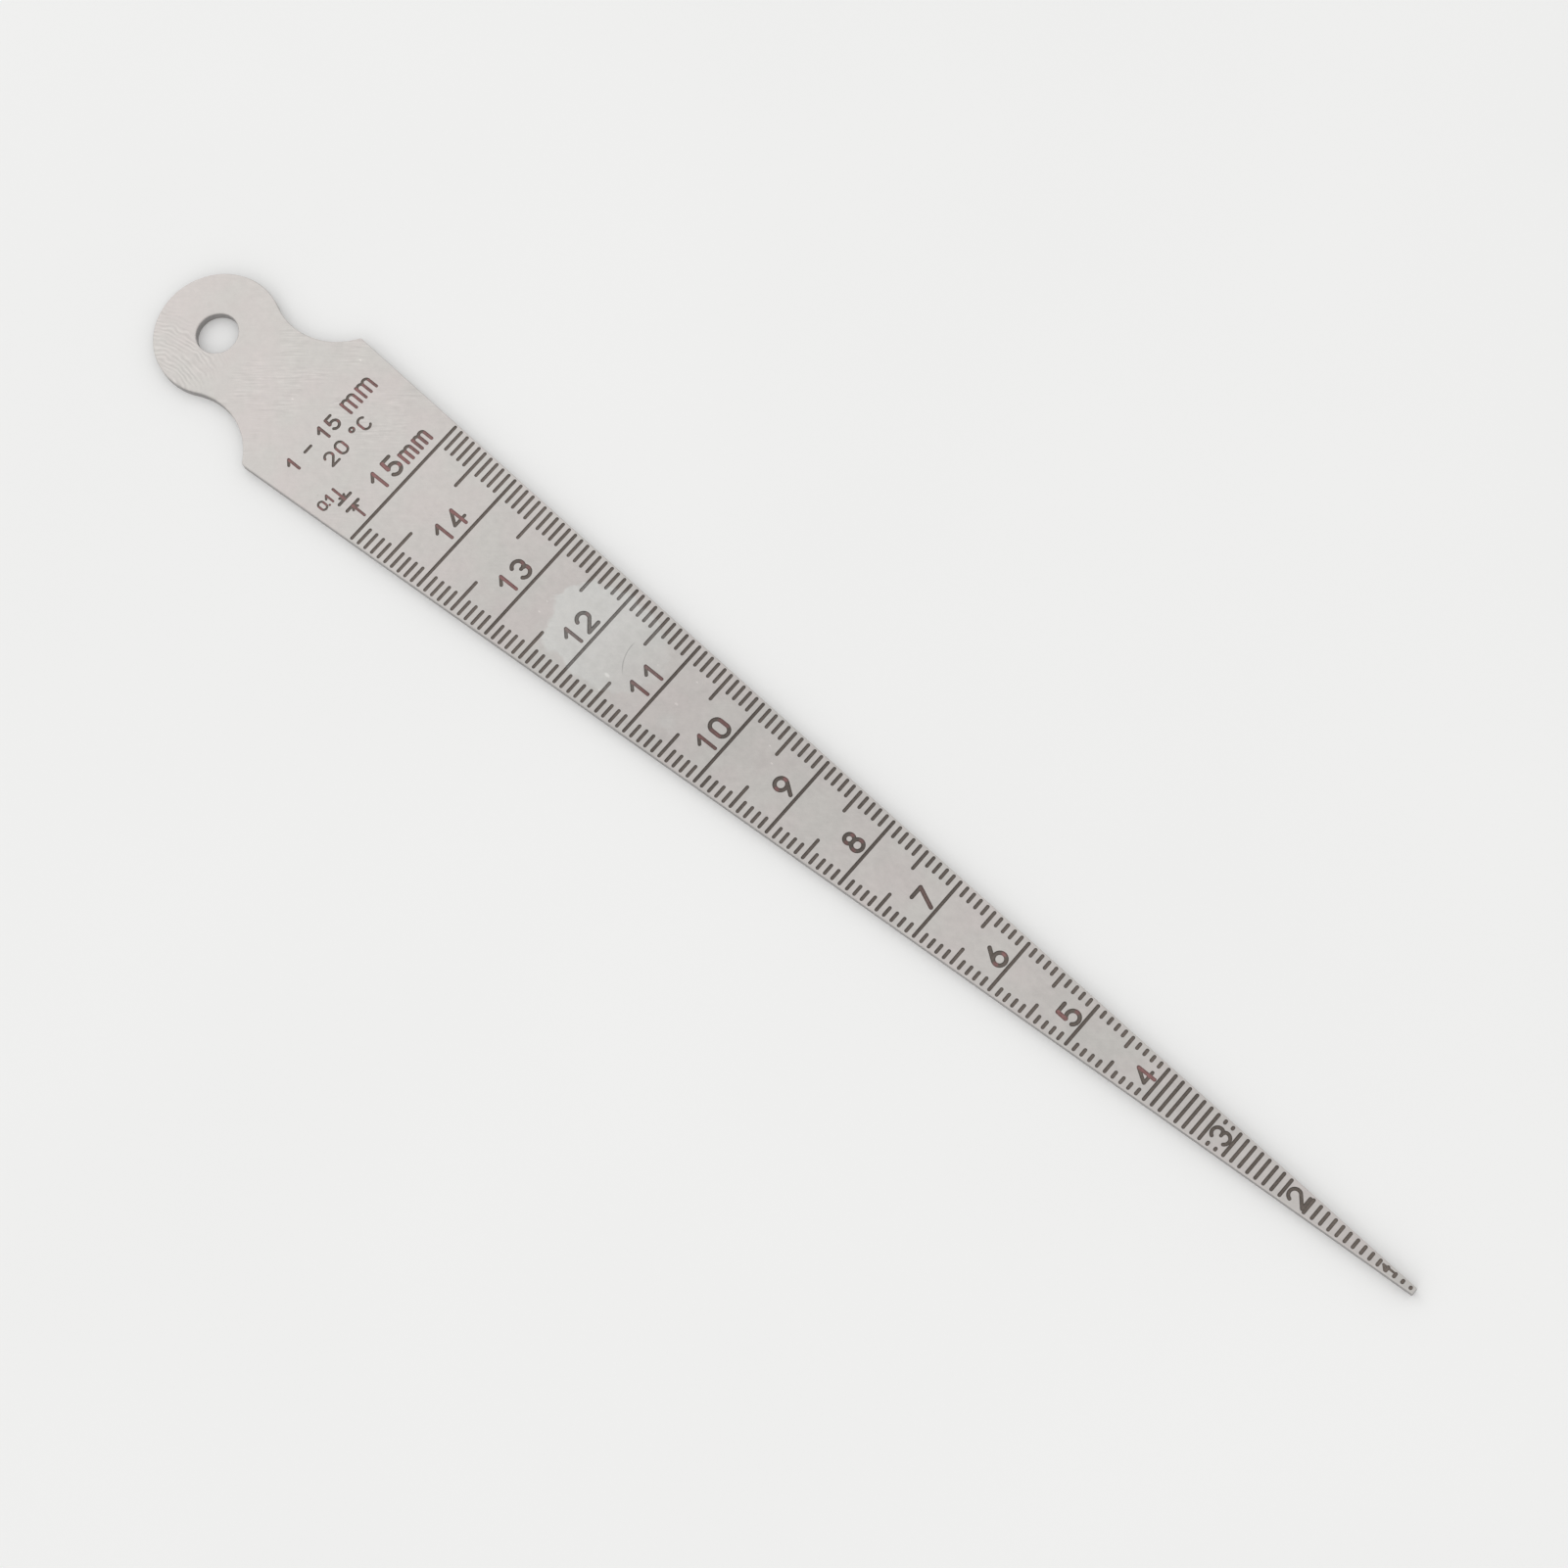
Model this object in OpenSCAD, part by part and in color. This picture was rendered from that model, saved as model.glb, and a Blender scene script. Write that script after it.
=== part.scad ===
// Taper gauge: a flat steel blade that widens evenly from tip to shoulders. Pushed into a slot or a bore
// it stops where its width fits, and the graduation at the rim reads that width in millimetres.
// It lies on its plain back with the graduated face up. The tip points along +X, and the origin is on the
// underside, in the middle of the length and the width.

/* [Blade] */
// Thickness of the sheet
sheet_t = 1; // [0.6:0.1:2]
// Growth of the blade's width from one graduation to the next
grad_w = 1; // [0.9:0.05:1.2]
// Length of blade from one graduation to the next
taper_step = 8.25; // [7:0.25:12]
// Width of the cut-off tip
tip_w = 0.65; // [0.5:0.05:0.7]
// Size of the small chamfer round every edge
edge_break = 0.1; // [0.05:0.01:0.14]

/* [Head] */
// Length from the largest graduation to the middle of the ring
ring_lead = 25.25; // [22:0.25:40]
// Outside diameter of the ring
ring_d = 12.7; // [11:0.1:15]
// Diameter of the hanging hole
hole_d = 4.2; // [2:0.1:6]
// Width of the neck at its narrowest
neck_w = 10.2; // [8:0.1:10.8]
// Radius of the hollow on each side of the neck
neck_r = 7; // [5.5:0.1:8]
// Radius of the shoulder corners
shoulder_r = 0.4; // [0.3:0.05:1]

/* [Graduations] */
// Largest graduation
scale_max = 15; // [12:1:20]
// Graduation below which every tenth is a line right across
full_lines_from = 4; // [3:1:5]
// Width of the engraved lines
mark_w = 0.34; // [0.2:0.02:0.36]
// Depth of the engraving
etch_depth = 0.05; // [0.02:0.01:0.1]
// Gap from the edge of the sheet to the ends of the lines
mark_inset = 0.16; // [0.15:0.01:0.2]
// Growth of the half marks from one graduation to the next
half_mark = 0.28; // [0.24:0.01:0.34]
// Length that each half mark has on top of that
half_mark_base = 0.1; // [0:0.05:0.4]
// Growth of the tenth marks from one graduation to the next
tenth_mark = 0.135; // [0.1:0.005:0.18]
// Length that each tenth mark has on top of that
tenth_mark_base = 0.215; // [0.1:0.005:0.4]
// How much the upper marks gain, and the lower ones lose, from one graduation to the next
mark_drift = 0.027; // [0:0.001:0.04]
// Graduation at which upper and lower marks are even
mark_even = 5.3; // [4:0.1:8]

/* [Figures] */
// Height of the figures
figure_h = 2.35; // [1.8:0.05:2.4]
// Height of the figures that stand among the full lines
low_figure_h = 2.1; // [1.6:0.05:2.15]
// Height of the last figure at the tip
tip_figure_h = 1.4; // [1:0.05:1.45]
// Stroke width of the figures
figure_stroke = 0.4; // [0.3:0.02:0.44]
// Stroke width of the figures 1 and 4, of the figures among the full lines and of the unit
slim_stroke = 0.34; // [0.2:0.02:0.4]
// Stroke width of the last figure at the tip
tip_figure_stroke = 0.2; // [0.14:0.02:0.24]
// Distance from figure to figure in a number
figure_pitch = 1.9; // [1.7:0.05:2.2]
// Shift of two-figure numbers toward the lower edge
number_shift = 0.45; // [0:0.05:0.6]
// Growth of the gap between a number and its line from one graduation to the next
figure_gap = 0.04; // [0.01:0.01:0.05]
// Graduation at which a number just touches its line
figure_touch = 3.5; // [3.2:0.1:3.8]
// Extra gap between the largest number and its line
top_gap = 0.22; // [0:0.01:0.6]
// Clearance between a figure and the stubs of the lines beside it
stub_gap = 0.2; // [0.1:0.05:0.3]
// Height of the letters of the unit after the largest number
unit_h = 1.65; // [1.2:0.05:1.8]

/* [Hidden] */
$fn = 96;
steel = [0.77, 0.76, 0.74];
// Marks from one graduation to the next
tenths = 10;
// Degrees in a full turn
full_turn = 360;
// How far a cutter reaches past the face that it cuts
overcut = edge_break / 2;
// How far round parts of the outline stand proud of what they run into, so that the two cross cleanly
proud = edge_break / 20;
// The same for the round ends and rings of strokes
hair = mark_w / 160;

// Places along the blade, and the graduation that the tip's width comes to
tip_grad = tip_w / grad_w;
scale_l = (scale_max - tip_grad) * taper_step;
total_l = scale_l + ring_lead + ring_d / 2;
tip_x = total_l / 2;
apex_x = tip_x + tip_grad * taper_step;
ring_at = [tip_x - scale_l - ring_lead, 0];

// The upper long edge: its slope to the centreline, its direction toward the head and its outward normal
edge_angle = atan(grad_w / (2 * taper_step));
headward = [-cos(edge_angle), sin(edge_angle)];
outward = [sin(edge_angle), cos(edge_angle)];

// The neck hollow is an arc that touches the ring
neck_y = neck_w / 2 + neck_r;
neck_at = ring_at + [sqrt(pow(ring_d / 2 + neck_r - proud, 2) - pow(neck_y, 2)), neck_y];

// The shoulder corner is an arc that touches the hollow and the long edge
corner_line = [apex_x, 0] - shoulder_r * outward;
corner_offset = (corner_line - neck_at) * headward;
corner_gap = norm(corner_line - neck_at);
corner_s = -corner_offset - sqrt(pow(corner_offset, 2) - pow(corner_gap, 2) + pow(neck_r + shoulder_r, 2));
shoulder_at = corner_line + corner_s * headward;
shoulder_edge = shoulder_at + shoulder_r * outward;

// Figures as strokes on a centreline box 1 high: bars as end points, bows as centre, radius and two angles
BARS = 0;
BOWS = 1;
FIGURES = [
    [[[[-0.31, 0.31], [-0.31, 0.69]], [[0.31, 0.31], [0.31, 0.69]]],
        [[[0, 0.69], 0.31, 0, 180], [[0, 0.31], 0.31, 180, 360]]],
    [[[[0.1, 0], [0.1, 1]], [[0.1, 1], [-0.2, 0.68]]],
        []],
    [[[[0.21, 0.472], [-0.31, 0]], [[-0.31, 0], [0.33, 0]]],
        [[[0, 0.69], 0.31, -35, 165]]],
    [[[[0.02, 0.5], [0.21, 0.5]]],
        [[[0, 0.7], 0.3, -52, 150], [[0, 0.3], 0.3, -150, 52]]],
    [[[[0.12, 0], [0.12, 1]], [[0.12, 1], [-0.33, 0.3]], [[-0.33, 0.3], [0.33, 0.3]]],
        []],
    [[[[-0.22, 1], [0.26, 1]], [[-0.22, 1], [-0.25, 0.53]]],
        [[[0, 0.31], 0.31, -150, 138]]],
    [[[[0.12, 1], [-0.247, 0.471]]],
        [[[0, 0.3], 0.3, 0, 360]]],
    [[[[-0.3, 1], [0.31, 1]], [[0.31, 1], [-0.12, 0]]],
        []],
    [[],
        [[[0, 0.77], 0.23, 0, 360], [[0, 0.28], 0.28, 0, 360]]],
    [[[[-0.12, 0], [0.247, 0.529]]],
        [[[0, 0.7], 0.3, 0, 360]]]
];
// Figures that have the slim stroke wherever they stand
SLIM_FIGURES = [1, 4];
// The letter m on a centreline box 1 high
UNIT_LETTER = [
    [[[-0.5, 0], [-0.5, 1]], [[0, 0], [0, 0.75]], [[0.5, 0], [0.5, 0.75]]],
    [[[-0.25, 0.75], 0.25, 0, 180], [[0.25, 0.75], 0.25, 0, 180]]
];
// Half the width of the widest figure, on its centreline
figure_half = 0.33;
// Sides of the wedge that opens a bow
wedge_sides = 6;

// Place of a graduation along the blade
function grad_x(grad) = apex_x - grad * taper_step;
// Distance from the centreline to the outer ends of the lines at a graduation
function line_end(grad) = grad * grad_w / 2 - mark_inset;
// Mirror image of a point, on the other side of the centreline
function below(p) = [p.x, -p.y];
// Gap between a number and its line: small numbers run into theirs
function line_gap(grad) = figure_gap * (grad - figure_touch) + (grad == scale_max ? top_gap : 0);
// Foot of a number: the last one stands on the tenth below its own
function foot_x(grad) =
    grad == 1 ? grad_x(1 - 1 / tenths) : grad_x(grad) - mark_w / 2 - line_gap(grad);
// Length of a half or tenth mark at a count of tenths
function mark_length(count) =
    let (grad = count / tenths)
    count % tenths == tenths / 2 ? half_mark_base + half_mark * grad : tenth_mark_base + tenth_mark * grad;
// The figures of a whole number, first to last
function figures_of(grad) = grad < 10 ? [grad] : [floor(grad / 10), grad % 10];
// Height of the figures at a graduation
function height_of(grad) = grad == 1 ? tip_figure_h : grad <= full_lines_from ? low_figure_h : figure_h;
// Stroke width of a figure in the number at a graduation
function stroke_of(grad, figure) =
    let (slim = grad <= full_lines_from || len(search(figure, SLIM_FIGURES)) > 0)
    grad == 1 ? tip_figure_stroke : slim ? slim_stroke : figure_stroke;
// Whether the line at a count of tenths runs through a figure
function under_figure(count) =
    let (grad = floor(count / tenths), past = count % tenths)
    grad > 1 && grad < full_lines_from
        && past > 0 && past * taper_step / tenths < height_of(grad) + line_gap(grad) + mark_w;

// Straight stroke with round ends
module bar(p, q, w) {
    way = q - p;
    half_w = w / 2 - hair;
    translate(p) rotate(atan2(way.y, way.x)) translate([0, -half_w]) square([norm(way), 2 * half_w]);
    for (end = [p, q]) translate(end) circle(d = w);
}

// Arc stroke with round ends, or a full ring
module bow(centre, r, from, to, w) {
    away = 2 * r + w;
    open = to - from < full_turn;
    half_w = w / 2 + (open ? -hair : hair);
    difference() {
        translate(centre) circle(r = r + half_w);
        translate(centre) circle(r = r - half_w);
        if (open)
            translate(centre)
                polygon(concat([[0, 0]], [for (i = [0:wedge_sides])
                    let (a = to + (from + full_turn - to) * i / wedge_sides) away * [cos(a), sin(a)]]));
    }
    if (open)
        for (a = [from, to]) translate(centre + r * [cos(a), sin(a)]) circle(d = w);
}

// One figure or letter, standing on the origin with its reading direction along +X
module strokes(shape, h, w) {
    u = h - w;
    translate([0, w / 2]) {
        for (b = shape[BARS]) bar(u * b[0], u * b[1], w);
        for (b = shape[BOWS]) bow(u * b[0], u * b[1], b[2], b[3], w);
    }
}

// A whole number on the head side of its line, reading across the blade from the lower edge. The largest
// one has the unit after it, two letters m at the pitch of the figures
module number(grad) {
    h = height_of(grad);
    figures = figures_of(grad);
    last = len(figures) - 1;
    translate([foot_x(grad), -number_shift * last])
        rotate(90) {
            for (i = [0:last])
                translate([(i - last / 2) * figure_pitch, 0])
                    strokes(FIGURES[figures[i]], h, stroke_of(grad, figures[i]));
            if (grad == scale_max)
                for (i = [1, 2])
                    translate([(i + last / 2) * figure_pitch, 0]) strokes(UNIT_LETTER, unit_h, slim_stroke);
        }
}

// Line across the blade at a graduation, between two places across it
module cross_line(grad, from_y, to_y) {
    bar([grad_x(grad), from_y + mark_w / 2], [grad_x(grad), to_y - mark_w / 2], mark_w);
}

// Marks of the given lengths in from the upper and the lower edge
module edge_marks(grad, upper_l, lower_l) {
    outer = line_end(grad);
    cross_line(grad, outer - upper_l, outer);
    cross_line(grad, -outer, lower_l - outer);
}

// All the lines of the scale, from the last tenth before the tip to the largest graduation
module scale_lines() {
    first = ceil((tip_grad + mark_w / taper_step) * tenths);
    stub_end = figure_half * (low_figure_h - slim_stroke) + slim_stroke / 2 + stub_gap;
    for (count = [first:scale_max * tenths]) {
        grad = count / tenths;
        outer = line_end(grad);
        stub = outer - stub_end;
        drift = mark_drift * (grad - mark_even);
        if (under_figure(count)) {
            if (stub > mark_w) edge_marks(grad, stub, stub);
        } else if (count % tenths == 0 || grad < full_lines_from) {
            cross_line(grad, -outer, outer);
        } else {
            edge_marks(grad, mark_length(count) + drift, mark_length(count) - drift);
        }
    }
}

// Section of the sheet from the axis of a disc out to its rim, with both corners broken
function disc_section(r, corner) = [
    [0, 0], [r - corner, 0], [r, corner],
    [r, sheet_t - corner], [r - corner, sheet_t], [0, sheet_t]
];

// Section of a round cutter whose rims open out at both faces of the sheet
function cutter_section(r) = [
    [0, -overcut], [r + edge_break + overcut, -overcut], [r, edge_break],
    [r, sheet_t - edge_break], [r + edge_break + overcut, sheet_t + overcut], [0, sheet_t + overcut]
];

// Round piece of sheet with broken edges
module disc(at, r, corner) {
    translate(at) rotate_extrude() polygon(disc_section(r, corner));
}

// Round opening with broken edges
module opening(at, r) {
    translate(at) rotate_extrude() polygon(cutter_section(r));
}

// Chamfers of a straight edge on both faces, open on the left of its direction
module straight_break(at, direction, l) {
    reach = edge_break + overcut;
    translate(at) rotate(direction) translate([-overcut, 0, 0]) rotate([90, 0, 90])
        linear_extrude(l + 2 * overcut)
            for (face = [[0, 1], [sheet_t, -1]])
                polygon([[overcut, face[0] - face[1] * overcut], [overcut, face[0] + face[1] * reach],
                    [-reach, face[0] - face[1] * overcut]]);
}

// The blade and the neck, up to the middle of the ring
module blade() {
    edge_l = norm(shoulder_edge - [tip_x, tip_w / 2]);
    difference() {
        linear_extrude(sheet_t)
            polygon([ring_at, neck_at, shoulder_at, shoulder_edge, [tip_x, tip_w / 2],
                [tip_x, -tip_w / 2], below(shoulder_edge), below(shoulder_at), below(neck_at)]);
        opening(neck_at, neck_r);
        opening(below(neck_at), neck_r);
        straight_break(shoulder_edge, -edge_angle, edge_l);
        mirror([0, 1, 0]) straight_break(shoulder_edge, -edge_angle, edge_l);
        straight_break([tip_x, tip_w / 2], -90, tip_w);
    }
}

// The sheet before engraving
module blank() {
    difference() {
        union() {
            blade();
            disc(ring_at, ring_d / 2, edge_break);
            for (at = [shoulder_at, below(shoulder_at)]) disc(at, shoulder_r + proud, edge_break + proud);
        }
        opening(ring_at, hole_d / 2);
    }
}

// The gauge: one piece of sheet with its scale engraved in the upper face
module taper_gauge() {
    color(steel)
        difference() {
            blank();
            translate([0, 0, sheet_t - etch_depth])
                linear_extrude(etch_depth + overcut) {
                    scale_lines();
                    for (grad = [1:scale_max]) number(grad);
                }
        }
}

taper_gauge();
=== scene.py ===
"""Looks of the taper gauge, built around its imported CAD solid.

The sheet is remade with fine arcs and softly broken edges, and its scale, its numbers and the marks on its
head are sunk into the upper face as shallow etched strokes. Sizes are in millimetres, in the frame of the
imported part: +X runs to the tip, +Z from the plain back up to the graduated face. A mesh is turned into metres
when it is finished.
"""

import functools
import logging
import math
from collections.abc import Iterable
from dataclasses import dataclass, field
from enum import Enum

import bmesh
import bpy
from mathutils import Matrix, Vector
from mathutils.geometry import delaunay_2d_cdt


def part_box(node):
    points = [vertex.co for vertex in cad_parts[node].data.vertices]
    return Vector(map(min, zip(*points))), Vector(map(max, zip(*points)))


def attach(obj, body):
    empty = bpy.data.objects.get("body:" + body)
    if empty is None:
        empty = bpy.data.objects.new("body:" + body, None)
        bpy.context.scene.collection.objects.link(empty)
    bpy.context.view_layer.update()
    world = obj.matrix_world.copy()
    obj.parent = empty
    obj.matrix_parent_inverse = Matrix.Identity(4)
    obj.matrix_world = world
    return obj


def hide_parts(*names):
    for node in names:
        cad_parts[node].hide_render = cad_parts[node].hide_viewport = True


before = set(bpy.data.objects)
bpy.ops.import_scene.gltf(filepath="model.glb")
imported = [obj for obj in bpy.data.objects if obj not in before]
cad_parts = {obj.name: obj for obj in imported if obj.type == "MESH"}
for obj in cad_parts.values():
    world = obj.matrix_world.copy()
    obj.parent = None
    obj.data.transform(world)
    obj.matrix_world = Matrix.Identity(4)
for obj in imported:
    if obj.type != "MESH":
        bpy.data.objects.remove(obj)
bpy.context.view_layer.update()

NODE = "taper_gauge"
BODY = "root"
MM = 0.001
TENTHS = 10.0
LOG = logging.getLogger(NODE)

Loop = list[Vector]
Pair = tuple[float, float]
Path = list[Pair]
Triple = tuple[float, float, float]
Quad = tuple[float, float, float, float]
Colour = tuple[int, int, int]
Vert = bmesh.types.BMVert
Socket = bpy.types.NodeSocket
Value = Socket | float | tuple[float, ...]


class Surface(Enum):
    """What a face of the sheet is, as the number of its material."""

    STEEL = 0
    ETCH = 1


class Side(Enum):
    """The long edge that a mark starts from, as the sign of its place across the blade."""

    UPPER = 1
    LOWER = -1


def polar(centre: Vector, radius: float, degrees: float) -> Vector:
    """Point at an angle on a circle."""
    turn = math.radians(degrees)
    return centre + radius * Vector((math.cos(turn), math.sin(turn)))


def heading(way: Vector) -> float:
    """Angle of a direction, in degrees."""
    return math.degrees(math.atan2(way.y, way.x))


def arc(centre: Vector, radius: float, first: float, last: float, step: float) -> Loop:
    """Points along an arc, both ends among them.

    Args:
        centre: Middle of the arc.
        radius: Its radius.
        first: Angle at which it starts, in degrees.
        last: Angle at which it ends; smaller than first for a clockwise arc.
        step: Largest angle from point to point.

    Returns:
        The points in order.
    """
    parts = max(1, math.ceil(abs(last - first) / step))
    return [polar(centre, radius, first + (last - first) * i / parts) for i in range(parts + 1)]


def mirrored(loop: Loop) -> Loop:
    """Mirror image of a run of points across the centreline, in the opposite order."""
    return [Vector((p.x, -p.y)) for p in reversed(loop)]


def moved_left(loop: Loop, distance: float) -> Loop:
    """Moves a closed loop sideways by a distance, toward the left of its direction.

    Args:
        loop: Points of the loop, with the metal on their left.
        distance: How far each side moves.

    Returns:
        The new points, one for each old one.
    """
    moved = []
    for before, here, after in zip(loop[-1:] + loop[:-1], loop, loop[1:] + loop[:1]):
        a = (here - before).normalized().orthogonal()
        b = (after - here).normalized().orthogonal()
        moved.append(here + distance * (a + b) / (1 + a.dot(b)))
    return moved


@dataclass(frozen=True)
class Sheet:
    """The blank: a blade that widens evenly to its shoulders, a neck between two hollows, and a ring."""

    tip_x: float
    thickness: float
    taper_step: float = 8.25
    tip_w: float = 0.65
    scale_max: int = 15
    ring_lead: float = 25.25
    ring_d: float = 12.7
    hole_d: float = 4.2
    neck_w: float = 10.2
    neck_r: float = 7.0
    shoulder_r: float = 0.4
    edge_break: float = 0.1
    arc_step: float = 3.0

    @classmethod
    def from_frame(cls) -> "Sheet":
        """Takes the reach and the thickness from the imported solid."""
        low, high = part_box(NODE)
        return cls(tip_x=high.x / MM, thickness=(high.z - low.z) / MM)

    @property
    def apex_x(self) -> float:
        """Where the two long edges would meet."""
        return self.tip_x + self.tip_w * self.taper_step

    @property
    def ring_at(self) -> Vector:
        """Middle of the ring."""
        return Vector((self.grad_x(self.scale_max) - self.ring_lead, 0))

    def grad_x(self, grad: float) -> float:
        """Place of a graduation along the blade."""
        return self.apex_x - grad * self.taper_step

    def outline(self) -> Loop:
        """Lays out the outer edge of the sheet.

        Returns:
            Its points, counter-clockwise from the upper corner of the tip.
        """
        slope = math.atan2(1, 2 * self.taper_step)
        headward = Vector((-math.cos(slope), math.sin(slope)))
        outward = Vector((math.sin(slope), math.cos(slope)))
        ring_r = self.ring_d / 2
        neck_y = self.neck_w / 2 + self.neck_r
        neck_at = self.ring_at + Vector((math.sqrt((ring_r + self.neck_r) ** 2 - neck_y ** 2), neck_y))
        # The corner's middle lies on a line along the edge, where a circle touches the hollow from outside
        line = Vector((self.apex_x, 0)) - self.shoulder_r * outward
        along = (line - neck_at).dot(headward)
        reach = (self.neck_r + self.shoulder_r) ** 2 - (line - neck_at).length_squared
        shoulder_at = line + (-along - math.sqrt(along ** 2 + reach)) * headward
        upper = [Vector((self.tip_x, self.tip_w / 2))]
        upper += arc(shoulder_at, self.shoulder_r, heading(outward), heading(neck_at - shoulder_at),
                     self.arc_step)
        upper += arc(neck_at, self.neck_r, heading(shoulder_at - neck_at), heading(self.ring_at - neck_at),
                     self.arc_step)[1:]
        touch = heading(neck_at - self.ring_at)
        ring_part = arc(self.ring_at, ring_r, touch, 360 - touch, self.arc_step)[1:-1]
        return upper + ring_part + mirrored(upper)

    def hole(self) -> Loop:
        """Edge of the hanging hole, clockwise, so that the metal is on its left."""
        return arc(self.ring_at, self.hole_d / 2, 360, 0, self.arc_step)[:-1]


@dataclass(frozen=True)
class Stroke:
    """An etched stroke with round ends, around the line that its middle follows.

    Its edge is given where it is laid out already. A short stroke is a mark that doesn't reach the middle of
    the blade.
    """

    path: tuple[Vector, ...]
    width: float
    edge: tuple[Vector, ...] = ()
    short: bool = False
    cap_step: float = 20.0

    @classmethod
    def from_edge(cls, edge: Loop) -> "Stroke":
        """Takes up a straight line across the blade.

        Args:
            edge: The line's edge, counter-clockwise.

        Returns:
            The stroke with that edge.
        """
        xs, ys = [p.x for p in edge], [p.y for p in edge]
        width, middle = max(xs) - min(xs), (max(xs) + min(xs)) / 2
        ends = (Vector((middle, min(ys) + width / 2)), Vector((middle, max(ys) - width / 2)))
        return cls(ends, width, tuple(edge), short=min(ys) > 0 or max(ys) < 0)

    def outline(self) -> Loop:
        """Lays out the edge of the stroke with its round ends.

        Returns:
            Its points, counter-clockwise.
        """
        if self.edge:
            return list(self.edge)
        r = self.width / 2
        ways = [(b - a).normalized() for a, b in zip(self.path, self.path[1:])]
        right, left = [], []
        for here, a, b in zip(self.path[1:-1], ways, ways[1:]):
            side = r * (a.orthogonal() + b.orthogonal()) / (1 + a.dot(b))
            left.append(here + side)
            right.append(here - side)
        start, end = heading(ways[0]), heading(ways[-1])
        tail = arc(self.path[0], r, start + 90, start + 270, self.cap_step)
        nose = arc(self.path[-1], r, end - 90, end + 90, self.cap_step)
        return tail + right + nose + left[::-1]

    def nearest(self, spot: Vector) -> tuple[float, Vector]:
        """Finds the place on the middle of the stroke that is nearest to a spot.

        Args:
            spot: The spot on the face.

        Returns:
            Its distance from the spot, and the direction of the stroke there.
        """
        found = []
        for a, b in zip(self.path, self.path[1:]):
            share = min(1.0, max(0.0, (spot - a).dot(b - a) / (b - a).length_squared))
            found.append(((a + share * (b - a) - spot).length, (b - a).normalized()))
        return min(found, key=lambda pair: pair[0])

    def run_along(self, spot: Vector) -> float:
        """How far the stroke runs along the blade near a spot: 0 across it, 1 along it."""
        return abs(self.nearest(spot)[1].x)

    def core(self, spot: Vector) -> float:
        """How far inside the stroke a spot lies: 0 at its edge, 1 at its middle."""
        return max(0.0, 1 - self.nearest(spot)[0] / (self.width / 2))


def bow(x: float, y: float, radius: float, first: float, last: float, step: float = 15.0) -> Path:
    """Arc of a sign, as points on its centreline box."""
    return [(p.x, p.y) for p in arc(Vector((x, y)), radius, first, last, step)]


def ring(x: float, y: float, radius: float) -> list[Path]:
    """Full ring of a sign, as two arcs."""
    return [bow(x, y, radius, 0, 180), bow(x, y, radius, 180, 360)]


# Strokes of each sign on a centreline box 1 high, standing on y = 0 around x = 0
SIGNS: dict[str, list[Path]] = {
    "0": [[(-0.31, 0.31), (-0.31, 0.69)], [(0.31, 0.31), (0.31, 0.69)],
          bow(0, 0.69, 0.31, 0, 180), bow(0, 0.31, 0.31, 180, 360)],
    "1": [[(0.1, 0), (0.1, 1)], [(0.1, 1), (-0.2, 0.68)]],
    "2": [[(0.21, 0.472), (-0.31, 0)], [(-0.31, 0), (0.33, 0)], bow(0, 0.69, 0.31, -35, 165)],
    "3": [[(0.02, 0.5), (0.21, 0.5)], bow(0, 0.7, 0.3, -52, 150), bow(0, 0.3, 0.3, -150, 52)],
    "4": [[(0.12, 0), (0.12, 1)], [(0.12, 1), (-0.33, 0.3)], [(-0.33, 0.3), (0.33, 0.3)]],
    "5": [[(-0.22, 1), (0.26, 1)], [(-0.22, 1), (-0.25, 0.53)], bow(0, 0.31, 0.31, -150, 138)],
    "6": [[(0.12, 1), (-0.247, 0.471)], *ring(0, 0.3, 0.3)],
    "7": [[(-0.3, 1), (0.31, 1)], [(0.31, 1), (-0.12, 0)]],
    "8": [*ring(0, 0.77, 0.23), *ring(0, 0.28, 0.28)],
    "9": [[(-0.12, 0), (0.247, 0.529)], *ring(0, 0.7, 0.3)],
    "m": [[(-0.5, 0), (-0.5, 1)], [(0, 0), (0, 0.75)], [(0.5, 0), (0.5, 0.75)],
          bow(-0.25, 0.75, 0.25, 0, 180), bow(0.25, 0.75, 0.25, 0, 180)],
    "C": [bow(0, 0.69, 0.31, 35, 180), [(-0.31, 0.69), (-0.31, 0.31)], bow(0, 0.31, 0.31, 180, 325)],
    "o": ring(0, 0.84, 0.16),
    "-": [[(-0.28, 0.5), (0.28, 0.5)]],
    ".": [[(0, 0), (0, 0.02)]],
    " ": [],
}
# Width of each sign's centreline box, where it isn't a figure's
SIGN_WIDTHS: dict[str, float] = {"1": 0.4, "m": 1.0, "o": 0.32, "-": 0.56, ".": 0.0, " ": 0.1}
FIGURE_WIDTH = 0.64


def write(sign: str, foot: Vector, height: float, width: float) -> list[Stroke]:
    """Strokes of one sign that reads across the blade, from its lower edge up, with its top toward the head.

    Args:
        sign: One of the keys of SIGNS.
        foot: Middle of its foot.
        height: Its height over all.
        width: Its stroke width.

    Returns:
        Its strokes in their place.
    """
    u = height - width
    return [Stroke(tuple(Vector((foot.x - width / 2 - u * y, foot.y + u * x)) for x, y in path), width)
            for path in SIGNS[sign]]


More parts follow.
